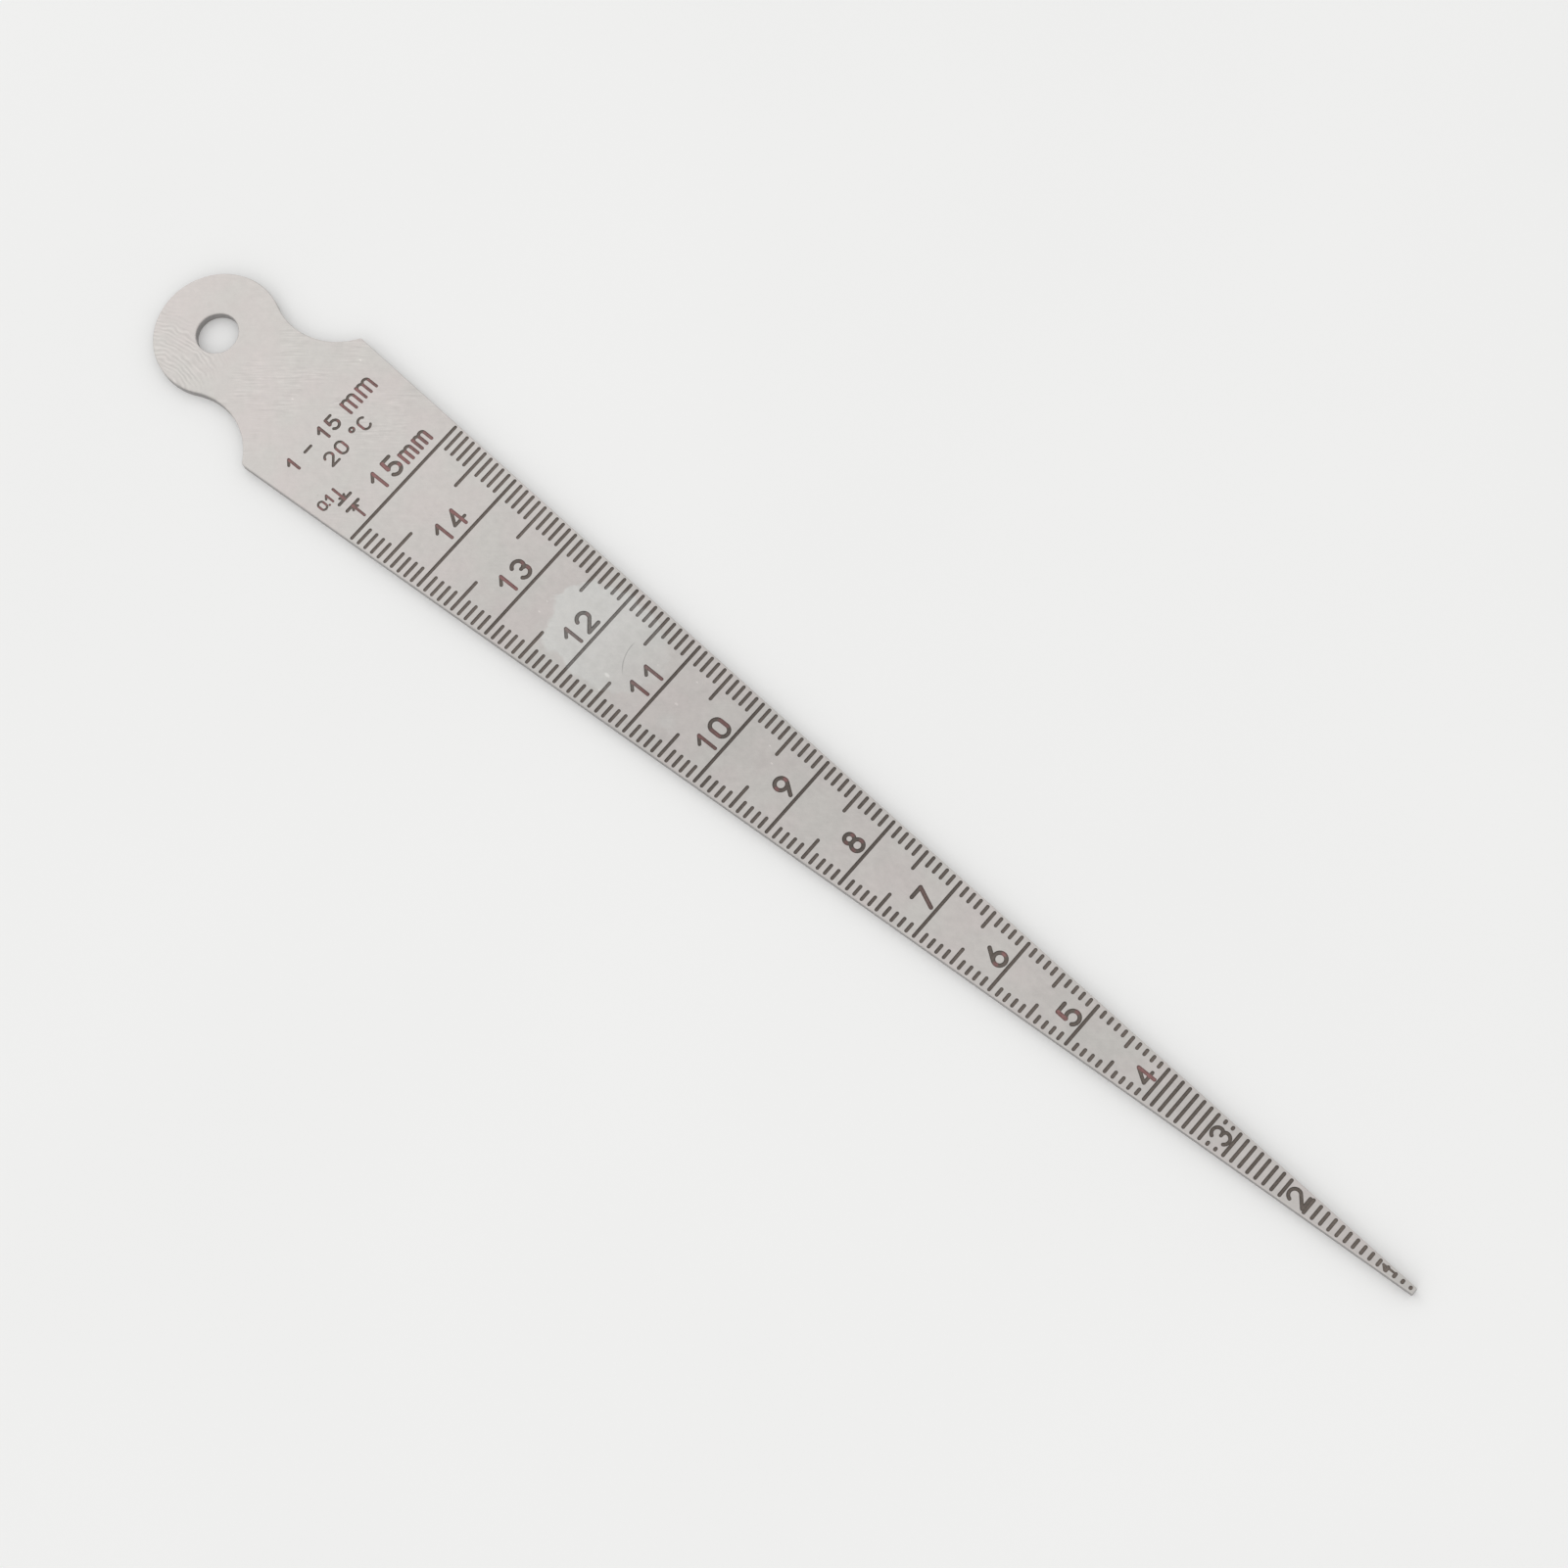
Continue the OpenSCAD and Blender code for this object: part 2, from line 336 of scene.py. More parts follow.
@dataclass(frozen=True)
class Numbers:
    """The numbers of the scale, each on the head side of its line, with the unit after the largest."""

    sheet: Sheet
    line_w: float = 0.34
    height: float = 2.35
    low_height: float = 2.1
    low_to: int = 4
    tip_height: float = 1.4
    stroke_w: float = 0.4
    slim_w: float = 0.34
    slim_signs: str = "14m"
    tip_stroke_w: float = 0.2
    pitch: float = 1.9
    shift: float = 0.45
    gap_growth: float = 0.04
    gap_from: float = 3.5
    top_gap: float = 0.22
    unit: str = "mm"
    unit_height: float = 1.65

    def line_gap(self, grad: int) -> float:
        """Gap between a number and its line: small numbers run into theirs."""
        top_gap = self.top_gap if grad == self.sheet.scale_max else 0
        return self.gap_growth * (grad - self.gap_from) + top_gap

    def foot_x(self, grad: int) -> float:
        """Finds the foot of a number: the last one stands on the tenth below its own.

        Args:
            grad: The number.

        Returns:
            The place of its foot along the blade.
        """
        if grad == 1:
            return self.sheet.grad_x(1 - 1 / TENTHS)
        return self.sheet.grad_x(grad) - self.line_w / 2 - self.line_gap(grad)

    def stroke_of(self, grad: int, sign: str) -> float:
        """Picks the stroke width of a sign.

        Args:
            grad: The number that the sign is part of.
            sign: The sign.

        Returns:
            Its stroke width.
        """
        if grad == 1:
            return self.tip_stroke_w
        return self.slim_w if grad <= self.low_to or sign in self.slim_signs else self.stroke_w

    def number(self, grad: int) -> list[Stroke]:
        """Writes one number, with the unit after the largest.

        Args:
            grad: The number.

        Returns:
            The strokes of its figures.
        """
        height = self.tip_height if grad == 1 else self.low_height if grad <= self.low_to else self.height
        figures = str(grad)
        unit = self.unit if grad == self.sheet.scale_max else ""
        last = len(figures) - 1
        strokes = []
        for i, sign in enumerate(figures + unit):
            foot = Vector((self.foot_x(grad), (i - last / 2) * self.pitch - self.shift * last))
            sign_height = height if i <= last else self.unit_height
            strokes += write(sign, foot, sign_height, self.stroke_of(grad, sign))
        return strokes

    def strokes(self) -> list[Stroke]:
        """Strokes of all the numbers."""
        return [s for grad in range(1, self.sheet.scale_max + 1) for s in self.number(grad)]


@dataclass(frozen=True)
class Label:
    """A line of plain signs on the head, set at an even gap around its middle."""

    signs: str
    foot_x: float
    middle_y: float
    height: float
    stroke_w: float
    gap: float

    def strokes(self) -> list[Stroke]:
        """Writes the signs, each with the room that its own width needs.

        Returns:
            The strokes of all the signs.
        """
        u = self.height - self.stroke_w
        widths = [SIGN_WIDTHS.get(sign, FIGURE_WIDTH) * u + self.stroke_w for sign in self.signs]
        start = self.middle_y - (sum(widths) + self.gap * (len(widths) - 1)) / 2
        strokes = []
        for sign, width in zip(self.signs, widths):
            strokes += write(sign, Vector((self.foot_x, start + width / 2)), self.height, self.stroke_w)
            start += width + self.gap
        return strokes


@dataclass(frozen=True)
class GapSign:
    """The sign for the width of one division: two bars with an arrow against each."""

    middle: Pair = (-46.17, -4.72)
    gap: float = 1.04
    bar_l: float = 1.85
    bar_w: float = 0.33
    stem_l: float = 1.6
    stroke_w: float = 0.27
    arrow_l: float = 0.42
    arrow_w: float = 0.56

    def strokes(self) -> list[Stroke]:
        """Draws the sign.

        Returns:
            The strokes of the bars, the stems and the barbs of the arrows.
        """
        middle = Vector(self.middle)
        across = Vector((0, (self.bar_l - self.bar_w) / 2))
        strokes = []
        for way in (-1, 1):
            bar = middle + Vector((way * self.gap / 2, 0))
            tail = bar + Vector((way * self.stem_l, 0))
            strokes += [Stroke((bar - across, bar + across), self.bar_w), Stroke((bar, tail), self.stroke_w)]
            for barb in (-1, 1):
                back = bar + Vector((way * self.arrow_l, barb * self.arrow_w / 2))
                strokes.append(Stroke((bar, back), self.stroke_w))
        return strokes


class NodeSketch:
    """Adds nodes to a tree and joins them, so that a rule or a finish reads as a chain of calls."""

    def __init__(self, tree: bpy.types.NodeTree) -> None:
        """Starts from an empty tree."""
        self.tree = tree
        tree.nodes.clear()

    def feed(self, socket: Socket, value: Value) -> None:
        """Links a socket to an input, or sets the input to a constant.

        Args:
            socket: The input.
            value: Another node's output, or the constant.
        """
        if isinstance(value, bpy.types.NodeSocket):
            self.tree.links.new(value, socket)
        else:
            socket.default_value = value

    def node(self, kind: str, inputs: dict[str | int, Value] | None = None,
             **settings: object) -> bpy.types.Node:
        """Adds a node.

        Args:
            kind: Name of the node's type.
            inputs: What goes into its sockets, by name or number.
            settings: Its properties, which are set first.

        Returns:
            The node.
        """
        made = self.tree.nodes.new(kind)
        for name, value in settings.items():
            setattr(made, name, value)
        for name, value in (inputs or {}).items():
            self.feed(made.inputs[name], value)
        return made

    def math(self, operation: str, *values: Value) -> Socket:
        """Result of a calculation with numbers."""
        return self.node("ShaderNodeMath", dict(enumerate(values)), operation=operation).outputs[0]

    def fold(self, operation: str, values: Iterable[Socket]) -> Socket:
        """Result of one operation over several numbers."""
        return functools.reduce(functools.partial(self.math, operation), values)

    def vector(self, operation: str, *values: Value) -> bpy.types.Node:
        """Node of a calculation with vectors."""
        return self.node("ShaderNodeVectorMath", dict(enumerate(values)), operation=operation)

    def xyz(self, x: Value, y: Value, z: Value) -> Socket:
        """Vector put together from three numbers."""
        return self.node("ShaderNodeCombineXYZ", {0: x, 1: y, 2: z}).outputs[0]


@dataclass
class Graduations:
    """The lines of the scale, laid out by a rule in Geometry Nodes as flat round-ended shapes.

    A line runs right across at every whole number, and at every tenth among the low numbers. The other tenths
    have a mark at each long edge, longer at the halves. Lines that would run through a figure shrink to stubs
    or go.
    """

    sheet: Sheet
    numbers: Numbers
    inset: float = 0.16
    half_growth: float = 0.28
    half_base: float = 0.1
    tenth_growth: float = 0.135
    tenth_base: float = 0.215
    drift: float = 0.027
    even_at: float = 5.3
    stub_gap: float = 0.2
    figure_half: float = 0.33
    cap_points: int = 20
    inputs: dict[str, float] = field(init=False)

    def __post_init__(self) -> None:
        """Gathers the named inputs of the rule, lengths in metres."""
        sheet, numbers = self.sheet, self.numbers
        first = math.ceil((sheet.tip_w + numbers.line_w / sheet.taper_step) * TENTHS)
        figure_end = self.figure_half * (numbers.low_height - numbers.slim_w) + numbers.slim_w / 2
        lengths = {
            "Apex": sheet.apex_x, "Step": sheet.taper_step, "Growth": 1.0, "Face": sheet.thickness,
            "Line Width": numbers.line_w, "Inset": self.inset, "Half Growth": self.half_growth,
            "Half Base": self.half_base, "Tenth Growth": self.tenth_growth, "Tenth Base": self.tenth_base,
            "Drift": self.drift, "Stub End": figure_end + self.stub_gap,
            "Figure Height": numbers.low_height + numbers.line_w, "Figure Gap": numbers.gap_growth,
        }
        self.inputs = {name: length * MM for name, length in lengths.items()}
        self.inputs |= {"First": first, "Last": sheet.scale_max * TENTHS, "Low To": numbers.low_to,
                        "Even At": self.even_at, "Touch At": numbers.gap_from}

    def tree(self) -> tuple[bpy.types.NodeTree, dict[str, str]]:
        """Builds the rule.

        Returns:
            The tree, and the identifier of each named input.
        """
        tree = bpy.data.node_groups.new("graduation_rule", "GeometryNodeTree")
        sketch = NodeSketch(tree)
        tree.interface.new_socket("Lines", in_out="OUTPUT", socket_type="NodeSocketGeometry")
        sockets = {}
        for name in self.inputs:
            made = tree.interface.new_socket(name, in_out="INPUT", socket_type="NodeSocketFloat")
            sockets[name] = made.identifier
        entry = sketch.node("NodeGroupInput").outputs
        size = {name: entry[name] for name in self.inputs}
        do = sketch.math
        half_tenth = 0.5 / TENTHS

        # One point for each tenth, from the first before the tip to the largest graduation
        lead = do("MULTIPLY", size["Step"], do("DIVIDE", size["First"], TENTHS))
        points = sketch.node("GeometryNodeMeshLine", {
            "Count": do("ADD", do("SUBTRACT", size["Last"], size["First"]), 1.0),
            "Start Location": sketch.xyz(do("SUBTRACT", size["Apex"], lead), 0.0, size["Face"]),
            "Offset": sketch.xyz(do("DIVIDE", size["Step"], -TENTHS), 0.0, 0.0),
        }, mode="OFFSET").outputs[0]
        count = do("ADD", sketch.node("GeometryNodeInputIndex").outputs[0], size["First"])
        grad = do("DIVIDE", count, TENTHS)
        whole = do("FLOOR", do("ADD", grad, half_tenth))
        past = do("SUBTRACT", count, do("MULTIPLY", whole, TENTHS))
        outer = do("SUBTRACT", do("MULTIPLY", grad, do("DIVIDE", size["Growth"], 2.0)), size["Inset"])
        is_whole = do("LESS_THAN", past, 0.5)
        is_half = do("COMPARE", past, TENTHS / 2, 0.5)
        is_low = do("LESS_THAN", grad, do("SUBTRACT", size["Low To"], half_tenth))

        # A figure among the full lines covers those that its height reaches
        reach = do("ADD", size["Figure Height"],
                   do("MULTIPLY", size["Figure Gap"], do("SUBTRACT", whole, size["Touch At"])))
        covered = do("LESS_THAN", do("MULTIPLY", past, do("DIVIDE", size["Step"], TENTHS)), reach)
        under = do("MULTIPLY", do("MULTIPLY", covered, is_low),
                   do("MULTIPLY", do("SUBTRACT", 1.0, is_whole), do("GREATER_THAN", whole, 1.5)))
        full = do("MULTIPLY", do("MAXIMUM", is_whole, is_low), do("SUBTRACT", 1.0, under))
        stub = do("SUBTRACT", outer, size["Stub End"])

        half_l = do("MULTIPLY_ADD", grad, size["Half Growth"], size["Half Base"])
        tenth_l = do("MULTIPLY_ADD", grad, size["Tenth Growth"], size["Tenth Base"])
        short_l = do("ADD", tenth_l, do("MULTIPLY", is_half, do("SUBTRACT", half_l, tenth_l)))
        drift = do("MULTIPLY", size["Drift"], do("SUBTRACT", grad, size["Even At"]))

        # A round end, turned so that its points come in pairs on both sides of its middle
        half_turn = math.pi / self.cap_points
        disc = sketch.node("GeometryNodeMeshCircle", {
            "Vertices": self.cap_points,
            "Radius": do("DIVIDE", size["Line Width"], 2 * math.cos(half_turn)),
        }, fill_type="NGON").outputs[0]
        disc = sketch.node("GeometryNodeTransform", {
            "Geometry": disc, "Rotation": (0.0, 0.0, half_turn),
        }).outputs[0]

        lines = sketch.node("GeometryNodeJoinGeometry")
        for side in Side:
            edge_l = do("ADD", short_l, do("MULTIPLY", drift, float(side.value)))
            edge_l = do("ADD", edge_l, do("MULTIPLY", under, do("SUBTRACT", stub, edge_l)))
            shown = do("SUBTRACT", 1.0, do("MULTIPLY", under, do("LESS_THAN", stub, size["Line Width"])))
            if side is Side.UPPER:
                rest_l = do("SUBTRACT", do("MULTIPLY", outer, 2.0), edge_l)
                edge_l = do("ADD", edge_l, do("MULTIPLY", full, rest_l))
            else:
                shown = do("MULTIPLY", shown, do("SUBTRACT", 1.0, full))
            middle = do("MULTIPLY", do("SUBTRACT", outer, do("DIVIDE", edge_l, 2.0)), float(side.value))
            straight = do("DIVIDE", do("SUBTRACT", edge_l, size["Line Width"]), 2.0)
            sketch.feed(lines.inputs[0], self.stretched(sketch, points, disc, shown, middle, straight))
        etched = sketch.node("GeometryNodeSetMaterial", {"Geometry": lines.outputs[0]})
        etched.inputs["Material"].default_value = EtchFinish().material()
        sketch.node("NodeGroupOutput", {0: etched.outputs[0]})
        return tree, sockets

    @staticmethod
    def stretched(sketch: NodeSketch, points: Socket, disc: Socket, shown: Socket, middle: Socket,
                  straight: Socket) -> Socket:
        """Puts a disc at each shown point and draws its two halves apart into a round-ended line.

        Args:
            sketch: The tree in the making.
            points: One point for each tenth.
            disc: The round end.
            shown: Whether a point gets a line.
            middle: Place of the line's middle across the blade.
            straight: Half the length of its straight part.

        Returns:
            The lines as flat faces.
        """
        for name, value in (("middle", middle), ("straight", straight)):
            points = sketch.node("GeometryNodeStoreNamedAttribute", {
                "Geometry": points, "Name": name, "Value": value,
            }, data_type="FLOAT", domain="POINT").outputs[0]
        placed = sketch.node("GeometryNodeSetPosition", {
            "Geometry": points, "Offset": sketch.xyz(0.0, middle, 0.0),
        }).outputs[0]
        discs = sketch.node("GeometryNodeInstanceOnPoints", {
            "Points": placed, "Selection": shown, "Instance": disc,
        }).outputs[0]
        discs = sketch.node("GeometryNodeRealizeInstances", {"Geometry": discs}).outputs[0]
        kept = {}
        for name in ("middle", "straight"):
            stored = sketch.node("GeometryNodeInputNamedAttribute", {"Name": name}, data_type="FLOAT")
            kept[name] = stored.outputs[0]
        place = sketch.node("ShaderNodeSeparateXYZ", {0: sketch.node("GeometryNodeInputPosition").outputs[0]})
        half = sketch.math("SIGN", sketch.math("SUBTRACT", place.outputs["Y"], kept["middle"]))
        away = sketch.xyz(0.0, sketch.math("MULTIPLY", half, kept["straight"]), 0.0)
        return sketch.node("GeometryNodeSetPosition", {"Geometry": discs, "Offset": away}).outputs[0]

    def strokes(self) -> list[Stroke]:
        """Lays the lines out by the rule and takes each one up from its edge.

        Returns:
            The lines as strokes, in millimetres.
        """
        host = bpy.data.objects.new("graduations", bpy.data.meshes.new("graduations"))
        bpy.context.scene.collection.objects.link(host)
        rule = host.modifiers.new("graduation_rule", "NODES")
        rule.node_group, sockets = self.tree()
        for name, identifier in sockets.items():
            rule[identifier] = float(self.inputs[name])
        graph = bpy.context.evaluated_depsgraph_get()
        mesh = bpy.data.meshes.new_from_object(host.evaluated_get(graph))
        host.modifiers.remove(rule)
        bpy.data.objects.remove(host)
        edges = [[mesh.vertices[i].co.xy / MM for i in face.vertices] for face in mesh.polygons]
        bpy.data.meshes.remove(mesh)
        return [Stroke.from_edge(edge) for edge in edges]


def srgb(red: int, green: int, blue: int) -> Quad:
    """Linear colour of a screen colour."""
    linear = [c / 255 / 12.92 if c <= 10 else ((c / 255 + 0.055) / 1.055) ** 2.4 for c in (red, green, blue)]
    return (*linear, 1.0)


@dataclass(frozen=True)
class Haze:
    """A thin pale film on the blade: an oval with a wavering, denser rim, that fades out toward the tip."""

    middle: Pair
    length: float
    width: float
    edge: float
    rim: float
    waver: float
    fade: float
    waver_scale: float = 0.5
    waver_detail: float = 3.0
    density: float = 1.0
    inner: float = 0.85
    faded: float = 0.3


FILMS = (
    Haze(middle=(-17.8, 0.4), length=13.2, width=9.4, edge=0.5, rim=2.0, waver=0.7, fade=6.5),
    Haze(middle=(-8.0, -2.2), length=2.8, width=2.2, edge=0.7, rim=1.0, waver=0.5, fade=2.0, density=0.45),
)


@dataclass(frozen=True)
class Layer:
    """A cloudy layer: clouds in a millimetre, finer layers, change of level, and squeeze along each axis."""

    scale: float
    detail: float
    depth: float = 1.0
    squeeze: Triple = (1.0, 1.0, 1.0)


@dataclass(frozen=True)
class Patches:
    """Patches that a pattern shows in, the share of it left between them, and the span of their edges."""

    layer: Layer
    least: float
    span: Pair


@dataclass(frozen=True)
class Specks:
    """Small specks: places in a millimetre, largest radius, share of places in use, change of level."""

    scale: float
    size: float
    share: float
    depth: float


class Finish(NodeSketch):
    """A material in the making, with the patterns that the finishes share. Coordinates are in millimetres."""

    # Range that a cloudy pattern keeps to, apart from a few extremes
    CLOUD_SPAN = (0.3, 0.7)

    def __init__(self, name: str) -> None:
        """Starts a material from its shader and its output.

        Args:
            name: Name of the material.
        """
        self.result = bpy.data.materials.new(name)
        self.result.use_nodes = True
        super().__init__(self.result.node_tree)
        self.shader = self.node("ShaderNodeBsdfPrincipled")
        self.node("ShaderNodeOutputMaterial", {"Surface": self.shader.outputs[0]})
        place = self.node("ShaderNodeTexCoord").outputs["Object"]
        self.place = self.vector("SCALE", place).outputs[0]
        self.place.node.inputs["Scale"].default_value = 1 / MM
        self.x, self.y, _ = self.node("ShaderNodeSeparateXYZ", {0: self.place}).outputs

    def noise(self, scale: float, detail: float, squeeze: Triple = (1.0, 1.0, 1.0),
              place: Socket | None = None) -> Socket:
        """Cloudy pattern from 0 to 1.

        Args:
            scale: How many clouds there are in a millimetre.
            detail: How many finer layers it has.
            squeeze: How much the pattern is squeezed along each axis.
            place: Where to read it, if not at the place on the piece.

        Returns:
            The pattern.
        """
        at = self.vector("MULTIPLY", place or self.place, squeeze).outputs[0]
        clouds = self.node("ShaderNodeTexNoise", {"Vector": at, "Scale": scale, "Detail": detail})
        return clouds.outputs["Fac"]

    def layer(self, layer: Layer, place: Socket | None = None) -> Socket:
        """Cloudy pattern of a layer, from 0 to 1."""
        return self.noise(layer.scale, layer.detail, layer.squeeze, place)

    def between(self, value: Socket, low: float, high: float, from_low: float = 0.0,
                from_high: float = 1.0) -> Socket:
        """Carries a value over from one range to another, and holds it there.

        Args:
            value: The value.
            low: Start of the new range.
            high: End of the new range.
            from_low: Start of the old range.
            from_high: End of the old range.

        Returns:
            The new value.
        """
        return self.node("ShaderNodeMapRange", {
            "Value": value, "From Min": from_low, "From Max": from_high, "To Min": low, "To Max": high,
        }, clamp=True).outputs[0]

    def spread(self, pattern: Socket, low: float, high: float) -> Socket:
        """Carries a cloudy pattern over to a range, and cuts its extremes off."""
        return self.between(pattern, low, high, *self.CLOUD_SPAN)

    def patches(self, patches: Patches) -> Socket:
        """Share of a pattern that shows, up to 1 inside the patches."""
        return self.between(self.layer(patches.layer), patches.least, 1.0, *patches.span)

    def mix(self, share: Value, a: Value, b: Value, blend: str = "MIX") -> Socket:
        """Blends two colours.

        Args:
            share: How much of the second colour there is.
            a: The first colour.
            b: The second colour.
            blend: How they blend.

        Returns:
            The colour.
        """
        made = self.node("ShaderNodeMix", data_type="RGBA", blend_type=blend)
        for name, value in (("Factor_Float", share), ("A_Color", a), ("B_Color", b)):
            self.feed(next(s for s in made.inputs if s.identifier == name), value)
        return next(s for s in made.outputs if s.identifier == "Result_Color")

    def dimmed(self, colour: Value, level: Socket) -> Socket:
        """Colour times a level."""
        return self.mix(1.0, colour, level, "MULTIPLY")

    def attribute(self, name: str) -> Socket:
        """Number that the mesh holds for each face or vertex."""
        return self.node("ShaderNodeAttribute", attribute_name=name).outputs["Fac"]

    def away_from(self, spot: Pair, squeeze: Pair = (1.0, 1.0)) -> Socket:
        """Measures how far a place lies from a spot on the face.

        Args:
            spot: The spot.
            squeeze: How much both are squeezed along each axis first.

        Returns:
            The distance.
        """
        factors = Vector((*squeeze, 0.0))
        flat = self.vector("MULTIPLY", self.place, tuple(factors)).outputs[0]
        return self.vector("DISTANCE", flat, tuple(factors * Vector((*spot, 0.0)))).outputs["Value"]

    def haze(self, film: Haze) -> Socket:
        """Draws a film.

        Args:
            film: The film.

        Returns:
            How dense it is, up to 1.
        """
        away = self.away_from(film.middle, (1.0, film.length / film.width))
        waver = self.noise(film.waver_scale, film.waver_detail)
        away = self.math("ADD", away, self.spread(waver, -film.waver, film.waver))
        half = film.length / 2
        disc = self.between(away, 1.0, 0.0, half - film.edge, half)
        dense = self.between(away, film.density * film.inner, film.density, half - film.rim, half - film.edge)
        fading = self.between(self.x, 1.0, film.faded, film.middle[0], film.middle[0] + film.fade)
        return self.fold("MULTIPLY", (disc, dense, fading))

    def hazes(self, films: tuple[Haze, ...]) -> Socket:
        """How dense several films are together."""
        return self.fold("MAXIMUM", map(self.haze, films))

    def specks(self, specks: Specks) -> Socket:
        """Scatters specks.

        Args:
            specks: Their size and number.

        Returns:
            The pattern, 1 where there is a speck.
        """
        cells = self.node("ShaderNodeTexVoronoi", {"Vector": self.place, "Scale": specks.scale})
        chance = self.node("ShaderNodeSeparateColor", {0: cells.outputs["Color"]}).outputs[0]
        reach = self.between(chance, specks.size * specks.scale, 0.0, 0.0, specks.share)
        return self.math("LESS_THAN", cells.outputs["Distance"], reach)

    def bump(self, height: Socket, depth: float) -> None:
        """Gives the surface a relief, its depth in millimetres."""
        made = self.node("ShaderNodeBump", {"Height": height, "Distance": depth * MM, "Strength": 1.0})
        self.feed(self.shader.inputs["Normal"], made.outputs[0])


@dataclass(frozen=True)
class SteelFinish:
    """Satin stainless sheet: mottled, with polishing strokes, arcs on the ring, films, nicks and a scratch.

    Painted light and shade run along the blade, and painted shade darkens its straight walls.
    A depth is a change of the level that the colour is multiplied by.
    """

    films: tuple[Haze, ...] = FILMS
    film_share: float = 0.8
    warm: Colour = (197, 191, 188)
    cool: Colour = (195, 192, 188)
    filmed: Colour = (206, 206, 203)
    # Painted shade on the straight walls of the edge and the hole, for dark surroundings reflected there
    ground: Colour = (163, 160, 159)
    hue: Layer = Layer(scale=0.22, detail=3.0)
    hue_shift: Triple = (31.0, 7.0, 3.0)
    hue_span: Pair = (0.35, 0.65)
    roughness: float = 0.4
    rough_depth: float = 0.05
    relief: float = 0.004
    strokes_relief: float = 0.5
    grain_relief: float = 0.4
    polish_relief: float = 0.3
    cloud: Layer = Layer(scale=0.06, detail=1.0, depth=0.02)
    mottle: Layer = Layer(scale=0.4, detail=3.0, depth=0.025)
    fine: Layer = Layer(scale=1.6, detail=2.0, depth=0.025)
    grain: Layer = Layer(scale=9.0, detail=1.0, depth=0.02)
    strokes: Layer = Layer(scale=0.9, detail=2.0, depth=0.02, squeeze=(1.0, 3.6, 1.0))
    # Painted light and shade along the blade: its level at the head, in the middle and at the tip, and where it
    # changes
    head_level: float = 1.02
    middle_level: float = 0.92
    tip_level: float = 0.99
    level_x: Quad = (-55.0, -8.0, -2.0, 18.0)
    arcs_middle: Pair = (-69.2, -7.3)
    arcs_squeeze: float = 0.7
    arcs_pitch: float = 0.4
    arcs_x: Pair = (-67.5, -65.2)
    arcs_y: Pair = (-2.2, -0.2)
    arcs_depth: float = 0.085
    arcs_wave: Layer = Layer(scale=0.6, detail=1.0, depth=0.2)
    arcs_breaks: Patches = Patches(
        Layer(scale=0.9, detail=1.0, squeeze=(0.6, 1.8, 1.0)), least=0.1, span=(0.38, 0.55),
    )
    polish_turn: float = 38.0
    polish_x: Quad = (-66.0, -63.0, -50.0, -44.0)
    polish_ring: float = 0.3
    polish_drop: float = 0.8
    polish_lines: Layer = Layer(scale=0.9, detail=2.0, depth=0.08, squeeze=(0.6, 6.0, 1.0))
    polish_patches: Patches = Patches(Layer(scale=0.3, detail=1.0), least=0.15, span=(0.46, 0.6))
    # Place and radius of each nick
    nicks: tuple[Triple, ...] = (
        (-15.25, -2.15, 0.2), (-8.35, -0.25, 0.13), (-8.3, 2.5, 0.08), (-24.4, -1.5, 0.09),
        (-24.5, -0.3, 0.07), (0.95, 2.1, 0.08), (2.2, 0.95, 0.1), (-55.5, 6.6, 0.1), (-57.9, -0.4, 0.08),
    )
    nick_squeeze: float = 0.55
    nick_depth: float = 0.2
    scratch_middle: Pair = (-11.8, 1.5)
    scratch_r: float = 3.6
    scratch_w: float = 0.07
    scratch_y: Quad = (-1.3, -0.7, 1.4, 1.8)
    scratch_depth: float = -0.26
    pale_specks: Specks = Specks(scale=0.4, size=0.11, share=0.35, depth=0.12)
    dark_specks: Specks = Specks(scale=0.55, size=0.07, share=0.3, depth=-0.12)

    def shine(self, steel: Finish) -> Socket:
        """Draws painted light and shade along the blade: brightest on the head and darkest in the middle.

        Args:
            steel: The material in the making.

        Returns:
            The painted light level.
        """
        head_x, darkest_from_x, darkest_to_x, tip_x = self.level_x
        painted_dimming = steel.between(steel.x, self.head_level, self.middle_level, head_x, darkest_from_x)
        return steel.math("ADD", painted_dimming,
                          steel.between(steel.x, 0.0, self.tip_level - self.middle_level, darkest_to_x, tip_x))

    def arcs(self, steel: Finish) -> Socket:
        """Draws broken polishing arcs on the lower side of the ring.

        Args:
            steel: The material in the making.

        Returns:
            The pattern, from -1 to 1.
        """
        away = steel.away_from(self.arcs_middle, (self.arcs_squeeze, 1.0))
        wavy = steel.spread(steel.layer(self.arcs_wave), -self.arcs_wave.depth, self.arcs_wave.depth)
        turns = steel.math("DIVIDE", steel.math("ADD", away, wavy), self.arcs_pitch)
        lines = steel.math("SINE", steel.math("MULTIPLY", turns, math.tau))
        broken = steel.patches(self.arcs_breaks)
        low = steel.between(steel.y, 1.0, 0.0, *self.arcs_y)
        left = steel.between(steel.x, 1.0, 0.0, *self.arcs_x)
        return steel.fold("MULTIPLY", (lines, broken, low, left))

